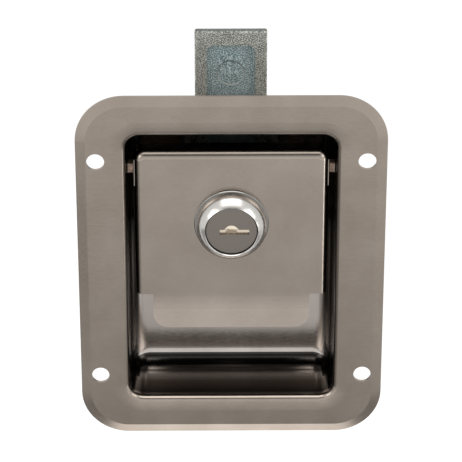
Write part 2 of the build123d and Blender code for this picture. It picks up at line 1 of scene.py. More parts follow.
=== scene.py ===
"""Flush paddle latch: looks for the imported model, in metres, in the model's own frame."""
import json
import math

import bmesh
import bpy
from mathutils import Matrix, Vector


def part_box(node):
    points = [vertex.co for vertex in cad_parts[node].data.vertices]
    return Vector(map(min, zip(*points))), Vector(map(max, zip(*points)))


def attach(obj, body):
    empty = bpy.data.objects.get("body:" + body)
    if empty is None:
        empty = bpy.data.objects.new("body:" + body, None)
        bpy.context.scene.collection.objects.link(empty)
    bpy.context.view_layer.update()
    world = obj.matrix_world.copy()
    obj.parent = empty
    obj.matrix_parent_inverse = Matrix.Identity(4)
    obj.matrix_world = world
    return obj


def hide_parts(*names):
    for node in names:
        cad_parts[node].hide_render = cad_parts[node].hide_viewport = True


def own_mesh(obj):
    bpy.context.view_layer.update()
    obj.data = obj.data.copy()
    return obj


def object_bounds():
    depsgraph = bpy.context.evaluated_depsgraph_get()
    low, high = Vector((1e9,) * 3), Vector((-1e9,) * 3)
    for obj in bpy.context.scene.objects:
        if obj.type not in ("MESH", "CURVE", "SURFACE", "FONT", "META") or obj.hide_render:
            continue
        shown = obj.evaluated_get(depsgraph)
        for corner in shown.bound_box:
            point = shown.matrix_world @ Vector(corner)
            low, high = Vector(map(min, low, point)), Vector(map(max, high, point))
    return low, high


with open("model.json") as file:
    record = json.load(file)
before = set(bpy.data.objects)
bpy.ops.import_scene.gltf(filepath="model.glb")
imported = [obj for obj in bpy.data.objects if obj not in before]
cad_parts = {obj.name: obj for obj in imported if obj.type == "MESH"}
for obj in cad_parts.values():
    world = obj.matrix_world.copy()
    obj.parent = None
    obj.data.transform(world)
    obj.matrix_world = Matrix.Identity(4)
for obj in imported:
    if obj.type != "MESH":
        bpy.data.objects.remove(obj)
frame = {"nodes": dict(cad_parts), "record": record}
cad_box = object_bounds()
mm = 0.001


# ---- pan ---------------------------------------------------------------------------------
# The pan is one deep-drawn sheet of stainless steel, satin polished from side to side, so
# that it mirrors its surroundings softly. Its colour carries painted shade at the mouth's
# bend, on its walls and inner sides and in the bend at the floor's foot, and painted light
# on the recess floor.
def linear(code):
    """Linear colour, with alpha, from an sRGB hex code."""
    parts = [int(code[i:i + 2], 16) / 255 for i in (0, 2, 4)]
    return tuple(c / 12.92 if c <= 0.04045 else ((c + 0.055) / 1.055) ** 2.4
                 for c in parts) + (1.0,)


def add(tree, kind, values=None, links=None, **settings):
    """A node with its settings, the values of its sockets and the links into them."""
    made = tree.nodes.new(kind)
    for name, value in settings.items():
        setattr(made, name, value)
    for socket, value in (values or {}).items():
        made.inputs[socket].default_value = value
    for socket, source in (links or {}).items():
        tree.links.new(source, made.inputs[socket])
    return made


def start_material(name):
    """An empty node material with its tree."""
    material = bpy.data.materials.new(name)
    material.use_nodes = True
    material.node_tree.nodes.clear()
    return material, material.node_tree


def finish_material(tree, shader):
    """Link a shader to the material's output."""
    add(tree, "ShaderNodeOutputMaterial", links={"Surface": shader.outputs[0]})


def place_in_mm(tree, stretch=(1, 1, 1)):
    """Position on the piece in millimetres, stretched along the grain."""
    place = add(tree, "ShaderNodeTexCoord")
    scaled = add(tree, "ShaderNodeMapping", {"Scale": [1000 / s for s in stretch]},
                 {"Vector": place.outputs["Object"]})
    return scaled.outputs[0]


def set_stops(ramp, stops):
    """Give a colour ramp its stops, each a place from 0 to 1 and a linear colour."""
    elements = ramp.color_ramp.elements
    while len(elements) < len(stops):
        elements.new(0.5)
    for element, (place, colour) in zip(elements, stops):
        element.position = place
        element.color = colour


def painted_shade_and_tab_highlight(tree, at, lip_turn, lip, sides, corner, tab_top, tab):
    """Share of the colour that each place keeps under painted light and shade (heights in mm).

    Painted shade: the upper lip, which turns down (-1) or up (1), the inner sides and the bend
    at the foot of the floor keep the given shares. Painted highlight: the tab below tab_top is
    made brighter.
    """
    surface = add(tree, "ShaderNodeNewGeometry")
    facing = add(tree, "ShaderNodeSeparateXYZ", links={0: surface.outputs["Normal"]})
    half = add(tree, "ShaderNodeMath", links={0: at.outputs["X"]}, operation="SIGN")
    outward = add(tree, "ShaderNodeMath", links={0: facing.outputs["X"], 1: half.outputs[0]},
                  operation="MULTIPLY")
    side_starts, side_full = -0.3, -0.9
    # Painted shade on the inner sides of the recess.
    painted_side_shade = add(tree, "ShaderNodeMapRange",
                     {"From Min": side_starts, "From Max": side_full, "To Min": 1.0, "To Max": sides},
                     {"Value": outward.outputs[0]})
    behind_mm, turned_up, spread = 12.0, 0.65, 0.27
    bend = add(tree, "ShaderNodeMath", {1: turned_up, 2: spread}, {0: facing.outputs["Z"]},
               operation="COMPARE")
    behind = add(tree, "ShaderNodeMath", {1: behind_mm}, {0: at.outputs["Y"]},
                 operation="GREATER_THAN")
    foot = add(tree, "ShaderNodeMath", links={0: bend.outputs[0], 1: behind.outputs[0]},
               operation="MULTIPLY")
    # Painted shade in the bend at the foot of the floor.
    painted_corner_shade = add(tree, "ShaderNodeMapRange", {"To Min": 1.0, "To Max": corner},
                {"Value": foot.outputs[0]})
    lip_starts, lip_full, middle_mm = 0.12 * lip_turn, 0.45 * lip_turn, 0.5
    upper = add(tree, "ShaderNodeMapRange", {"From Max": middle_mm}, {"Value": at.outputs["Z"]})
    rolled = add(tree, "ShaderNodeMath", links={0: facing.outputs["Z"], 1: upper.outputs[0]},
                 operation="MULTIPLY")
    # Painted shade on the upper lip; on the paddle it dims the highlight along its top edge.
    painted_lip_shade = add(tree, "ShaderNodeMapRange",
                   {"From Min": lip_starts, "From Max": lip_full, "To Min": 1.0, "To Max": lip},
                   {"Value": rolled.outputs[0]})
    fade_mm = 1.5
    # Painted highlight: the tab below tab_top is made brighter.
    painted_tab_highlight = add(tree, "ShaderNodeMapRange",
                 {"From Min": tab_top + fade_mm, "From Max": tab_top - fade_mm, "To Min": 1.0,
                  "To Max": tab}, {"Value": at.outputs["Z"]})
    share = painted_side_shade
    for other in (painted_corner_shade, painted_lip_shade, painted_tab_highlight):
        share = add(tree, "ShaderNodeMath", links={0: share.outputs[0], 1: other.outputs[0]},
                    operation="MULTIPLY")
    return share.outputs[0]


def satin_steel(name, colour, darker, roughness, depths, lip_turn, lip, sides=1.0, corner=1.0,
                tab_top=0.0, tab=1.0):
    """Satin stainless sheet: a soft mirror with fine grain, faint clouds and a few specks.

    depths gives (mm behind the face, colour that the steel's own is multiplied by there): a
    painted light and shade that changes the steel with depth. The shares from lip to tab are
    the painted shade and painted highlight worked out above.
    """
    grain_mm, grain_run = 0.35, (6, 1.3, 1.3)    # coarser than the real grain, so that it shows
    grain_share, rough_spread, cloud_mm, deepest_mm = 0.4, 0.03, 16, 30
    speck_gap_mm, speck_edge, speck_core, speck_share = 9, 0.045, 0.03, 0.12
    material, tree = start_material(name)
    place = place_in_mm(tree)
    grain = add(tree, "ShaderNodeTexNoise", {"Scale": 1 / grain_mm, "Detail": 3.0},
                {"Vector": place_in_mm(tree, grain_run)})
    clouds = add(tree, "ShaderNodeTexNoise", {"Scale": 1 / cloud_mm, "Detail": 4.0},
                 {"Vector": place})
    streaks = add(tree, "ShaderNodeMath", {1: grain_share, 2: -grain_share / 2},
                  {0: grain.outputs["Fac"]}, operation="MULTIPLY_ADD")
    uneven = add(tree, "ShaderNodeMath", links={0: clouds.outputs["Fac"], 1: streaks.outputs[0]})
    tint = add(tree, "ShaderNodeMix", {6: linear(darker), 7: linear(colour)},
               {0: uneven.outputs[0]}, data_type="RGBA")
    at = add(tree, "ShaderNodeSeparateXYZ", links={0: place})
    # Painted light and shade: the colour changes with depth behind the face and by the shares below.
    inward = add(tree, "ShaderNodeMapRange", {"From Max": deepest_mm}, {"Value": at.outputs["Y"]})
    ramp = add(tree, "ShaderNodeValToRGB", links={"Fac": inward.outputs[0]})
    set_stops(ramp, [(depth / deepest_mm, linear(share)) for depth, share in depths])
    share = painted_shade_and_tab_highlight(tree, at, lip_turn, lip, sides, corner, tab_top, tab)
    depth_shaded_colour = add(tree, "ShaderNodeVectorMath", links={0: ramp.outputs["Color"], "Scale": share},
               operation="SCALE")
    steel_with_painted_light = add(tree, "ShaderNodeMix", {0: 1.0}, {6: tint.outputs[2], 7: depth_shaded_colour.outputs[0]},
                data_type="RGBA", blend_type="MULTIPLY")
    dots = add(tree, "ShaderNodeTexVoronoi", {"Scale": 1 / speck_gap_mm}, {"Vector": place})
    near = add(tree, "ShaderNodeMapRange", {"From Min": speck_edge, "From Max": speck_core},
               {"Value": dots.outputs["Distance"]})
    luck = add(tree, "ShaderNodeSeparateColor", links={0: dots.outputs["Color"]})
    chosen = add(tree, "ShaderNodeMath", {1: speck_share}, {0: luck.outputs[0]},
                 operation="LESS_THAN")
    speck = add(tree, "ShaderNodeMath", links={0: near.outputs[0], 1: chosen.outputs[0]},
                operation="MULTIPLY")
    marked = add(tree, "ShaderNodeMix", {7: linear("4a423c")},
                 {0: speck.outputs[0], 6: steel_with_painted_light.outputs[2]}, data_type="RGBA")
    rough = add(tree, "ShaderNodeMapRange",
                {"From Min": 0.3, "From Max": 0.7, "To Min": roughness - rough_spread,
                 "To Max": roughness + rough_spread}, {"Value": grain.outputs["Fac"]})
    relief = add(tree, "ShaderNodeBump", {"Strength": 0.06, "Distance": 0.02 * mm},
                 {"Height": grain.outputs["Fac"]})
    shader = add(tree, "ShaderNodeBsdfPrincipled", {"Metallic": 1.0},
                 {"Base Color": marked.outputs[2], "Roughness": rough.outputs[0],
                  "Normal": relief.outputs[0]})
    finish_material(tree, shader)
    return material


def dress(node, material):
    """Give a CAD node its material."""
    piece = frame["nodes"][node]
    piece.data.materials.clear()
    piece.data.materials.append(material)
    return piece


# Painted shade, darkest at the mouth's bend and on the walls; painted light, cooler, on the floor.
at_face, at_lip, at_wall, at_floor = "c8c8c8", "4b4b4b", "908e8b", "edf3fc"
dress("pan", satin_steel("satin_stainless_sheet", "dccfc2", "bcaea0", 0.20,
                         [(0, at_face), (1.3, at_face), (2.8, at_lip), (10, at_wall),
                          (14, at_floor), (20, at_floor)],
                         lip_turn=-1, lip=0.22, sides=0.16, corner=0.1))

# ---- paddle ------------------------------------------------------------------------------
# The paddle is formed from the same stainless sheet as the pan, with its sides and top
# turned back and a finger tab that leans out of the pan. Its turned-back sides and top edge
# carry painted shade, and the tab a painted highlight.
# Painted shade on the turned-back parts and top edge, and a painted highlight on the tab.
at_face, turned_back = "ffffff", "aaaaaa"
dress("paddle", satin_steel("satin_stainless_paddle", "b1a79d", "9a8f85", 0.19,
                            [(0, at_face), (4, at_face), (7, turned_back)],
                            lip_turn=1, lip=0.62, tab_top=-12, tab=1.1))


# ---- hinge pin and its push-on ring ------------------------------------------------------
# Drawn steel pin with a formed head, held by a sprung ring pushed over its other end. It is
# painted near black as shade, and warm grey in a band in each gap beside the paddle.
def cloudy_metal(name, colour, darker, roughness, patch_mm=5.0):
    """Drawn, stamped, cast or plated metal, left as made: slightly cloudy, with a soft shine."""
    material, tree = start_material(name)
    clouds = add(tree, "ShaderNodeTexNoise", {"Scale": 1 / patch_mm, "Detail": 5.0, "Roughness": 0.6},
                 {"Vector": place_in_mm(tree)})
    tint = add(tree, "ShaderNodeMix", {6: linear(darker), 7: linear(colour)},
               {0: clouds.outputs["Fac"]}, data_type="RGBA")
    rough = add(tree, "ShaderNodeMapRange", {"To Min": roughness - 0.08, "To Max": roughness + 0.08},
                {"Value": clouds.outputs["Fac"]})
    shader = add(tree, "ShaderNodeBsdfPrincipled", {"Metallic": 1.0},
                 {"Base Color": tint.outputs[2], "Roughness": rough.outputs[0]})
    finish_material(tree, shader)
    return material


def pin_in_painted_shade(name, colour, shade_colour, gap_x, gap_half, patch_mm=1.0):
    """Pin painted near black as shade, warm grey in a band on each side (places in mm)."""
    material, tree = start_material(name)
    place = place_in_mm(tree)
    across = add(tree, "ShaderNodeSeparateXYZ", links={0: place})
    aside = add(tree, "ShaderNodeMath", links={0: across.outputs["X"]}, operation="ABSOLUTE")
    in_gap = add(tree, "ShaderNodeMath", {1: gap_x, 2: gap_half}, {0: aside.outputs[0]},
               operation="COMPARE")
    clouds = add(tree, "ShaderNodeTexNoise", {"Scale": 1 / patch_mm, "Detail": 4.0},
                 {"Vector": place})
    gap_tone = add(tree, "ShaderNodeMath", links={0: in_gap.outputs[0], 1: clouds.outputs["Fac"]},
                operation="MULTIPLY")
    tint = add(tree, "ShaderNodeMix", {6: linear(shade_colour), 7: linear(colour)},
               {0: gap_tone.outputs[0]}, data_type="RGBA")
    shader = add(tree, "ShaderNodeBsdfPrincipled", {"Metallic": 0.8, "Roughness": 0.4},
                 {"Base Color": tint.outputs[2]})
    finish_material(tree, shader)
    return material


paddle_side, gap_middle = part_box("paddle")[1][0] / mm, 1.3
# Painted shade: the pin is near black except in a band in each gap beside the paddle.
dress("hinge_pin", pin_in_painted_shade("oxidised_drawn_steel", "e0c0ac", "1c1a18",
                              gap_x=paddle_side + gap_middle, gap_half=0.95))
pin_steel = cloudy_metal("drawn_steel", "5c5650", "4b4641", 0.32)
dress("hinge_pin_ring", pin_steel)

# ---- drive lever, bolt housing and the lock's nut and cam --------------------------------
# All are stamped from mild steel and zinc plated, a pale cloudy grey. The lever is welded
# behind the paddle and the housing is riveted behind the pan floor.
zinc_plate = cloudy_metal("zinc_plated_steel", "b9bcbf", "8f9396", 0.34)
for node in ("drive_lever", "bolt_housing", "lock_washer", "lock_nut", "lock_cam", "cam_washer",
             "plug_retaining_ring"):
    dress(node, zinc_plate)


# ---- slam bolt ---------------------------------------------------------------------------
# Zinc alloy casting, blasted and passivated: a coarse, sparkling grey skin on the outside
# and a blue cast in the pocket, where the passivation lies thicker. Its tip carries painted
# shade, the ring in its pocket painted light and shade, and its heel is darker.
def cast_zinc(name, colour, darker, blue, blue_darker, grit_mm, pocket_y, pocket_half, mark_z,
              mark_r, tip_z, heel_z):
    """Blasted casting with grains the size of the grit, bluer in its pocket (places in mm).

    The pocket's floor has a cast-in ring of radius mark_r about mark_z, painted light below and
    painted shade above; the tip carries painted shade, and the heel below heel_z is darker.
    """
    lump_mm, lump_share, pocket_reach, pocket_edge = 2.4, 0.15, 0.9, 0.2
    ring_half, ring_share, tip_fade, tip_edge, heel_fade = 0.28, 0.7, 0.5, 0.1, 3
    material, tree = start_material(name)
    place = place_in_mm(tree)
    grit = add(tree, "ShaderNodeTexNoise", {"Scale": 1 / grit_mm, "Detail": 1.0, "Roughness": 0.5},
               {"Vector": place})
    lumps = add(tree, "ShaderNodeTexNoise", {"Scale": 1 / lump_mm, "Detail": 3.0}, {"Vector": place})
    skin_height = add(tree, "ShaderNodeMath", {1: lump_share},
                      {0: lumps.outputs["Fac"], 2: grit.outputs["Fac"]}, operation="MULTIPLY_ADD")
    grain = add(tree, "ShaderNodeMapRange", {"From Min": 0.48, "From Max": 0.71},
                {"Value": skin_height.outputs[0]})
    spot = add(tree, "ShaderNodeSeparateXYZ", links={0: place})
    aside = add(tree, "ShaderNodeMath", links={0: spot.outputs["X"]}, operation="ABSOLUTE")
    inside = add(tree, "ShaderNodeMapRange",
                 {"From Min": pocket_half + pocket_edge, "From Max": pocket_half - pocket_edge},
                 {"Value": aside.outputs[0]})
    deep = add(tree, "ShaderNodeMath", {1: pocket_y, 2: pocket_reach}, {0: spot.outputs["Y"]},
               operation="COMPARE")
    pocket = add(tree, "ShaderNodeMath", links={0: inside.outputs[0], 1: deep.outputs[0]},
                 operation="MULTIPLY")
    skin = add(tree, "ShaderNodeMix", {6: linear(darker), 7: linear(colour)},
               {0: grain.outputs[0]}, data_type="RGBA")
    cool = add(tree, "ShaderNodeMix", {6: linear(blue_darker), 7: linear(blue)},
               {0: grain.outputs[0]}, data_type="RGBA")
    tint = add(tree, "ShaderNodeMix",
               links={0: pocket.outputs[0], 6: skin.outputs[2], 7: cool.outputs[2]}, data_type="RGBA")
    flat = add(tree, "ShaderNodeCombineXYZ", links={0: spot.outputs["X"], 2: spot.outputs["Z"]})
    from_mark = add(tree, "ShaderNodeVectorMath", {1: (0, 0, mark_z)}, {0: flat.outputs[0]},
                    operation="DISTANCE")
    ring = add(tree, "ShaderNodeMath", {1: mark_r, 2: ring_half}, {0: from_mark.outputs["Value"]},
               operation="COMPARE")
    groove = add(tree, "ShaderNodeMath", {1: ring_share}, {0: ring.outputs[0]}, operation="MULTIPLY")
    # Painted light and shade on the ring: pale below, dark above.
    lit = add(tree, "ShaderNodeMapRange", {"From Min": mark_z + mark_r, "From Max": mark_z - mark_r},
              {"Value": spot.outputs["Z"]})
    ring_painted_light = add(tree, "ShaderNodeMix", {6: linear("4c5858"), 7: linear("dfe6e2")},
                  {0: lit.outputs[0]}, data_type="RGBA")
    ringed = add(tree, "ShaderNodeMix",
                 links={0: groove.outputs[0], 6: tint.outputs[2], 7: ring_painted_light.outputs[2]},
                 data_type="RGBA")
    # Painted shade along the tip.
    tip = add(tree, "ShaderNodeMapRange",
              {"From Min": tip_z - tip_fade, "From Max": tip_z - tip_edge, "To Max": 0.75},
              {"Value": spot.outputs["Z"]})
    tip_shaded = add(tree, "ShaderNodeMix", {7: linear("4c504c")},
               {0: tip.outputs[0], 6: ringed.outputs[2]}, data_type="RGBA")
    # The heel is darker below heel_z.
    heel = add(tree, "ShaderNodeMapRange",
               {"From Min": heel_z + heel_fade, "From Max": heel_z, "To Max": 0.8},
               {"Value": spot.outputs["Z"]})
    heel_darkened = add(tree, "ShaderNodeMix", {7: linear("201f1c")},
                  {0: heel.outputs[0], 6: tip_shaded.outputs[2]}, data_type="RGBA")
    relief = add(tree, "ShaderNodeBump", {"Strength": 0.7, "Distance": 0.15 * mm},
                 {"Height": skin_height.outputs[0]})
    shader = add(tree, "ShaderNodeBsdfPrincipled", {"Metallic": 0.6, "Roughness": 0.5},
                 {"Base Color": heel_darkened.outputs[2], "Normal": relief.outputs[0]})
    finish_material(tree, shader)
    return material


bolt_low, bolt_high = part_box("slam_bolt")
bolt_front, bolt_tip = bolt_low[1] / mm, bolt_high[2] / mm
pocket_depth, mark_below_tip = 2.0, 17.4
dress("slam_bolt", cast_zinc("blasted_cast_zinc", "e3e5dd", "62665f", "dff2f4", "6d8387",
                             grit_mm=0.4, pocket_y=bolt_front + pocket_depth, pocket_half=8.7,
                             mark_z=bolt_tip - mark_below_tip, mark_r=4.8, tip_z=bolt_tip,
                             heel_z=44))


# ---- rivets ------------------------------------------------------------------------------
# Four rivets of the same drawn steel as the pin's ring, a dull soft grey. Their domed heads
# are set cold through the pan floor and the housing's feet.
def turned(mesh, outline, x, z, around=48):
    """Revolve a closed outline of (radius, y) points about an axis along Y; gives bands of faces."""
    rings = []
    for radius, y in outline:
        ring = []
        for step in range(around):
            angle = 2 * math.pi * step / around
            place = (x + radius * math.cos(angle), y, z + radius * math.sin(angle))
            ring.append(mesh.verts.new(place))
        rings.append(ring)
    bands = []
    for first, second in zip(rings, rings[1:] + rings[:1]):
        band = []
        for i in range(around):
            after = (i + 1) % around
            band.append(mesh.faces.new((first[i], first[after], second[after], second[i])))
        bands.append(band)
    return bands


def finished(mesh, name, materials, sharp=math.radians(35)):
    """Weld, shade and link a mesh; edges sharper than the angle stay crisp."""
    bmesh.ops.remove_doubles(mesh, verts=mesh.verts, dist=0.001 * mm)
    bmesh.ops.recalc_face_normals(mesh, faces=mesh.faces)
    for face in mesh.faces:
        face.smooth = True
    for edge in mesh.edges:
        edge.smooth = len(edge.link_faces) == 2 and edge.calc_face_angle(0) < sharp
    data = bpy.data.meshes.new(name)
    mesh.to_mesh(data)
    mesh.free()
    for material in materials:
        data.materials.append(material)
    piece = bpy.data.objects.new(name, data)
    bpy.context.scene.collection.objects.link(piece)
    return piece


def domed_head(radius, depth, rim_y, steps=8):
    """Domed head as (radius, y) points from its rim to its crown."""
    angles = [math.pi / 2 * step / steps for step in range(steps + 1)]
    return [(radius * math.cos(angle), rim_y + depth * math.sin(angle)) for angle in angles]


low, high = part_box("housing_rivets")
head_r, head_t, shank_r = 3.2 * mm, 1.1 * mm, 1.6 * mm
front_rim, rear_rim = low[1] + head_t, high[1] - head_t
outline = (domed_head(head_r, -head_t, front_rim)[::-1] + [(shank_r, front_rim), (shank_r, rear_rim)]
           + domed_head(head_r, head_t, rear_rim))
rivets = bmesh.new()
for x in (low[0] + head_r, high[0] - head_r):
    for z in (low[2] + head_r, high[2] - head_r):
        turned(rivets, outline, x, z)
domed = finished(rivets, "housing_rivets_domed", [pin_steel])
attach(domed, "pan")
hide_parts("housing_rivets")

# ---- cam screw and shutter pin -----------------------------------------------------------
# Turned steel, a dull grey: the screw holds the cam on the plug, and the pin carries the
# keyway shutter.
for node in ("cam_screw", "shutter_pin"):
    dress(node, pin_steel)


# ---- bolt springs ------------------------------------------------------------------------
# Two compression springs of oiled spring steel between the housing's foot and the bolt's
# heel, with closed end coils. Each shortens with the bolt.
def coil(mesh, x, y, radius, wire, low, high, turns, steps=32, sides=10):
    """Helical round wire along Z whose first and last turns lie closed."""
    pitch = (high - low - 3 * wire) / (turns - 2)
    rings = []
    for step in range(turns * steps + 1):
        turn = step / steps
        height = low + wire / 2 + wire * (min(turn, 1) + max(turn - turns + 1, 0))
        height += pitch * min(max(turn - 1, 0), turns - 2)
        angle = 2 * math.pi * turn
        out = Vector((math.cos(angle), math.sin(angle), 0))
        middle = Vector((x, y, height)) + out * radius
        ring = []
        for side in range(sides):
            lean = 2 * math.pi * side / sides
            off = out * math.cos(lean) + Vector((0, 0, math.sin(lean)))
            ring.append(mesh.verts.new(middle + off * wire / 2))
        rings.append(ring)
    for first, second in zip(rings, rings[1:]):
        for side in range(sides):
            after = (side + 1) % sides
            mesh.faces.new((first[side], first[after], second[after], second[side]))
    mesh.faces.new(rings[0][::-1])
    mesh.faces.new(rings[-1])


spring_wire = cloudy_metal("oiled_spring_wire", "8d8c8c", "74736f", 0.3)
wire, turns, end_clearance = 1.2 * mm, 8, 0.1 * mm
bolt_slide = next(joint for joint in frame["record"]["behaviour"]["joints"]
                  if joint["name"] == "bolt_slide")
seat = bolt_slide["deforming_nodes"][0]["fixed_end_z_m"]
for side in ("left", "right"):
    low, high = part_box(f"bolt_spring_{side}")
    x, y = (low[0] + high[0]) / 2, (low[1] + high[1]) / 2
    length = high[2] - end_clearance - seat
    mesh = bmesh.new()
    coil(mesh, x, y, (high[0] - low[0]) / 2 - wire / 2, wire, seat, seat + length, turns)
    spring = finished(mesh, f"bolt_spring_coil_{side}", [spring_wire])
    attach(spring, "pan")
    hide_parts(f"bolt_spring_{side}")
    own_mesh(spring)

# ---- paddle spring -----------------------------------------------------------------------
# Torsion spring of the same wire, wound round the hinge pin between the paddle and the pan
# floor. The wire is drawn smooth, and the spring turns with the paddle.
wound = dress("paddle_spring", spring_wire)
weld = wound.modifiers.new("weld", "WELD")
weld.merge_threshold = 0.01 * mm
smooth = wound.modifiers.new("smooth", "SUBSURF")
smooth.levels = smooth.render_levels = 2


# ---- trim ring ---------------------------------------------------------------------------
# Turned zinc washer between the lock's dome and the paddle. It is nickel plated as the dome
# is and a little rougher, but painted darker than the dome as shade.
def polished_plate(name, colour, roughness):
    """Polished nickel plate: a bright mirror, a little hazy where it is handled."""
    haze_mm = 3.0
    material, tree = start_material(name)
    wear = add(tree, "ShaderNodeTexNoise", {"Scale": 1 / haze_mm, "Detail": 4.0},
               {"Vector": place_in_mm(tree)})
    rough = add(tree, "ShaderNodeMapRange", {"To Min": roughness * 0.6, "To Max": roughness * 1.4},
                {"Value": wear.outputs["Fac"]})
    shader = add(tree, "ShaderNodeBsdfPrincipled", {"Metallic": 1.0, "Base Color": linear(colour)},
                 {"Roughness": rough.outputs[0]})
    finish_material(tree, shader)
    return material


# Painted shade: the ring's plate is darker than the dome's.
dress("lock_trim_ring", polished_plate("dull_nickel_plate", "96938f", 0.22))

# ---- lock body ---------------------------------------------------------------------------
# Die-cast zinc with a polished round dome, nickel plated, and a threaded barrel with two
# flats behind the paddle. Its bore is left unplated, and it and the inner wall of the dome's
# opening are painted near black as shade.
nickel = polished_plate("bright_nickel_plate", "c6c3bf", 0.2)
# Painted shade: the bore and the wall of the dome's opening round the plug are near black.
dark_bore_shade = cloudy_metal("bare_cast_bore", "4c4a48", "3a3836", 0.5)
low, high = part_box("lock_body")
lock_x, lock_z = (low[0] + high[0]) / 2, (low[2] + high[2]) / 2
front, rear, foot_r = low[1], high[1], (high[0] - low[0]) / 2
face_r, barrel_r, bore_r, flat_half = 9.43 * mm, 9.5 * mm, 7.58 * mm, 8.6 * mm
face_edge, face_back, foot_y = front + 0.3 * mm, front + 5.6 * mm, front + 6.2 * mm
thread_start, thread_depth, pitch = front + 8.6 * mm, 0.4 * mm, 1.0 * mm
dome_r, first_slope, slope_step, slope_count, dome_sides = 8.2 * mm, 32, 2.5, 13, 96
slopes = [math.radians(first_slope + slope_step * step) for step in range(slope_count)]
crown = [(foot_r + (math.sin(slope) - math.sin(slopes[-1])) * dome_r,
          front + (math.cos(slopes[0]) - math.cos(slope)) * dome_r) for slope in slopes]
outline = [(face_r, face_edge)] + crown
outline += [(foot_r, foot_y), (barrel_r, foot_y), (barrel_r, thread_start)]
for turn in range(int((rear - thread_start) / pitch)):
    outline += [(barrel_r - thread_depth, thread_start + (turn + 0.5) * pitch),
                (barrel_r, thread_start + (turn + 1) * pitch)]
plated = len(outline)
outline += [(barrel_r, rear), (bore_r, rear), (bore_r, face_back), (face_r, face_back)]
mesh = bmesh.new()
bands = turned(mesh, outline, lock_x, lock_z, dome_sides)
for band in bands[plated:]:
    for face in band:
        face.material_index = 1
for vertex in mesh.verts:
    if vertex.co.y > foot_y and abs(vertex.co.z - lock_z) > flat_half:
        vertex.co.z = lock_z + math.copysign(flat_half, vertex.co.z - lock_z)
body = finished(mesh, "lock_body_turned", [nickel, dark_bore_shade])
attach(body, "paddle")
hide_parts("lock_body")


# ---- lock plug ---------------------------------------------------------------------------
# Die-cast zinc plug that turns in the lock body, held by its ring. Its face is finely turned
# and satin nickel plated, so it looks darker and softer than the dome.
def satin_nickel(name, colour, edge, centre, edge_r):
    """Finely turned satin nickel with a painted line of shade round its edge (places in mm)."""
    grain_mm, edge_shade_half = 0.25, 0.1
    material, tree = start_material(name)
    place = place_in_mm(tree)
    grain = add(tree, "ShaderNodeTexNoise", {"Scale": 1 / grain_mm, "Detail": 3.0}, {"Vector": place})
    flat = add(tree, "ShaderNodeVectorMath", {1: (1, 0, 1)}, {0: place}, operation="MULTIPLY")
    reach = add(tree, "ShaderNodeVectorMath", {1: centre}, {0: flat.outputs[0]}, operation="DISTANCE")
    # Painted shade: a dark line round the plug's edge, in the gap to the dome.
    edge_shade = add(tree, "ShaderNodeMapRange",
               {"From Min": edge_r - edge_shade_half, "From Max": edge_r + edge_shade_half},
               {"Value": reach.outputs["Value"]})
    tint = add(tree, "ShaderNodeMix", {6: linear(colour), 7: linear(edge)}, {0: edge_shade.outputs[0]},
               data_type="RGBA")
    rough = add(tree, "ShaderNodeMapRange", {"To Min": 0.28, "To Max": 0.4},
                {"Value": grain.outputs["Fac"]})
    relief = add(tree, "ShaderNodeBump", {"Strength": 0.1, "Distance": 0.02 * mm},
                 {"Height": grain.outputs["Fac"]})
    shader = add(tree, "ShaderNodeBsdfPrincipled", {"Metallic": 1.0},
                 {"Base Color": tint.outputs[2], "Roughness": rough.outputs[0],
                  "Normal": relief.outputs[0]})
    finish_material(tree, shader)
    return material


dress("lock_plug", satin_nickel("satin_nickel_face", "878079", "24211f",
                                centre=(lock_x / mm, 0, lock_z / mm), edge_r=9.1))

# ---- wafers ------------------------------------------------------------------------------
# Stamped brass plates, a dull yellow, that slide in slots across the plug's barrel when the
# key goes in.
dress("wafer_tumblers", cloudy_metal("stamped_brass", "b9a27a", "9d8660", 0.32, patch_mm=2.0))


# ---- keyway shutter ----------------------------------------------------------------------
# Flap of pale brass strip that closes the key slot behind the plug's face. A small round
# boss is coined in its middle, which catches the light.
def coined_brass(name, colour, roughness, boss, boss_r):
    """Smooth pale brass with a raised round boss (its place and radius in mm)."""
    haze_mm = 0.5
    material, tree = start_material(name)
    place = place_in_mm(tree)
    around = add(tree, "ShaderNodeVectorMath", {1: boss}, {0: place}, operation="DISTANCE")
    swell = add(tree, "ShaderNodeMapRange", {"From Min": boss_r, "From Max": 0.0},
                {"Value": around.outputs["Value"]}, interpolation_type="SMOOTHSTEP")
    haze = add(tree, "ShaderNodeTexNoise", {"Scale": 1 / haze_mm, "Detail": 3.0}, {"Vector": place})
    rough = add(tree, "ShaderNodeMapRange", {"To Min": roughness - 0.06, "To Max": roughness + 0.06},
                {"Value": haze.outputs["Fac"]})
    relief = add(tree, "ShaderNodeBump", {"Strength": 0.8, "Distance": 0.9 * mm},
                 {"Height": swell.outputs[0]})
    shader = add(tree, "ShaderNodeBsdfPrincipled", {"Metallic": 1.0, "Base Color": linear(colour)},
                 {"Roughness": rough.outputs[0], "Normal": relief.outputs[0]})
    finish_material(tree, shader)
    return material


shutter_front, boss_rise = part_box("keyway_shutter")[0][1] / mm, 0.4
dress("keyway_shutter", coined_brass("pale_brass_strip", "f2e4cf", 0.25,
                                     boss=(0, shutter_front, lock_z / mm + boss_rise), boss_r=2.6))


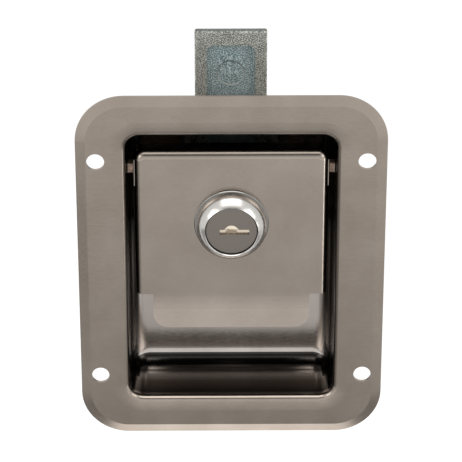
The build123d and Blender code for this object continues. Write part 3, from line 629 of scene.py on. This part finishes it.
# ---- stage: floor, room, cards, lights and camera ----------------------------------------
# A white floor well below the latch in a white room. Grey cards stand round it out of sight,
# as in a studio, to give polished metal its soft gradients.
def seen_white(tree, glow, shown_glow):
    """One glow to the eye, in metal and through glass, and another as light on the object."""
    path = add(tree, "ShaderNodeLightPath")
    direct = add(tree, "ShaderNodeMath",
                 links={0: path.outputs["Is Camera Ray"], 1: path.outputs["Is Glossy Ray"]},
                 operation="MAXIMUM")
    shown = add(tree, "ShaderNodeMath",
                links={0: direct.outputs[0], 1: path.outputs["Is Transmission Ray"]},
                operation="MAXIMUM")
    chosen = add(tree, "ShaderNodeMapRange", {"To Min": glow, "To Max": shown_glow},
                 {"Value": shown.outputs[0]})
    return chosen.outputs[0]


floor_drop, floor_size, floor_lift, room_glow = 0.5, 16, 0.46, 0.7
material, tree = start_material("white_floor")
paint = add(tree, "ShaderNodeBsdfDiffuse", {"Color": (0.8, 0.8, 0.8, 1)})
lift = add(tree, "ShaderNodeEmission", {"Color": (1, 1, 1, 1)},
           {"Strength": seen_white(tree, 0.0, floor_lift)})
lifted = add(tree, "ShaderNodeAddShader", links={0: paint.outputs[0], 1: lift.outputs[0]})
finish_material(tree, lifted)
bpy.ops.mesh.primitive_plane_add(size=floor_size, location=(0, 0, cad_box[0][2] - floor_drop))
floor = bpy.context.object
floor.name = "floor"
floor.data.materials.append(material)

world = bpy.data.worlds.new("white_room")
bpy.context.scene.world = world
world.use_nodes = True
room = world.node_tree
room.nodes.clear()
shine = add(room, "ShaderNodeBackground", {"Color": (1, 1, 1, 1)},
            {"Strength": seen_white(room, room_glow, 1.0)})
add(room, "ShaderNodeOutputWorld", links={"Surface": shine.outputs[0]})


def grey_card(name, place, aim, size, glow, near, far, stops):
    """Card out of the eye's sight, graded with the level distance from the latch.

    stops gives (place between near and far, brightness), and glow is the most it may be.
    """
    material, tree = start_material(name)
    spot = add(tree, "ShaderNodeNewGeometry")
    level = add(tree, "ShaderNodeVectorMath", {1: (1, 1, 0)}, {0: spot.outputs["Position"]},
                operation="MULTIPLY")
    reach = add(tree, "ShaderNodeVectorMath", links={0: level.outputs[0]}, operation="LENGTH")
    along = add(tree, "ShaderNodeMapRange", {"From Min": near, "From Max": far},
                {"Value": reach.outputs["Value"]})
    ramp = add(tree, "ShaderNodeValToRGB", links={"Fac": along.outputs[0]})
    set_stops(ramp, [(at, (bright / glow, bright / glow, bright / glow, 1)) for at, bright in stops])
    shine = add(tree, "ShaderNodeEmission", {"Strength": glow}, {"Color": ramp.outputs["Color"]})
    finish_material(tree, shine)
    bpy.ops.mesh.primitive_plane_add(size=1, location=place)
    card = bpy.context.object
    card.name = name
    card.scale = (size[0], size[1], 1)
    card.rotation_euler = (Vector(aim) - Vector(place)).to_track_quat("Z", "Y").to_euler()
    card.visible_camera = False
    card.visible_shadow = False
    card.data.materials.append(material)


centre = (0, 0, 0.01)
grey_card("front_floor_card", (0, -0.8, -0.56), (0, -0.8, 1), size=(3.0, 1.5), glow=2.0,
          near=0, far=1.5, stops=[(0, 2.0), (0.16, 2.0), (0.2, 0.45), (0.36, 0.36), (0.45, 0.42),
                                  (0.52, 0.58), (0.58, 0.72), (0.67, 0.72), (0.77, 0.8),
                                  (0.84, 0.9), (1, 1.0)])
grey_card("left_floor_card", (-0.95, -0.5, -0.55), (-0.95, -0.5, 1), size=(0.7, 0.8), glow=1.0,
          near=0.4, far=1.2, stops=[(0, 0.5), (1, 0.4)])
grey_card("camera_card", (0, -0.95, 0.62), centre, size=(0.8, 0.36), glow=1.0,
          near=0, far=1, stops=[(0, 0.2), (1, 0.2)])


def soft_box(name, place, aim, size, glow):
    """Rectangular studio light whose face has the given brightness."""
    light = bpy.data.lights.new(name, "AREA")
    light.shape = "RECTANGLE"
    light.size, light.size_y = size
    light.energy = glow * math.pi * size[0] * size[1]
    lamp = bpy.data.objects.new(name, light)
    lamp.location = place
    lamp.rotation_euler = (Vector(aim) - Vector(place)).to_track_quat("-Z", "Y").to_euler()
    bpy.context.scene.collection.objects.link(lamp)


soft_box("overhead_box", (0, -0.35, 1.1), centre, size=(1.1, 0.8), glow=1.45)
soft_box("upper_left_box", (-0.75, -0.66, 0.36), centre, size=(0.45, 0.5), glow=2.0)
soft_box("upper_right_box", (0.75, -0.66, 0.36), centre, size=(0.45, 0.5), glow=2.0)
soft_box("right_box", (0.72, -0.46, -0.29), (0, 0, -0.29), size=(0.14, 0.42), glow=2.6)

aim = Vector((-0.15, -1.2, 16.4)) * mm
tilt, yaw, away = math.radians(29), math.radians(0.4), 1010 * mm
backward = Vector((-math.sin(yaw) * math.cos(tilt), -math.cos(yaw) * math.cos(tilt), math.sin(tilt)))
camera = bpy.data.cameras.new("camera")
camera.lens = 218.55
camera.sensor_width = 36
eye = bpy.data.objects.new("camera", camera)
eye.location = aim + backward * away
eye.rotation_euler = (math.pi / 2 - tilt, 0, -yaw)
bpy.context.scene.collection.objects.link(eye)
bpy.context.scene.camera = eye
bpy.context.scene.view_settings.view_transform = "Standard"
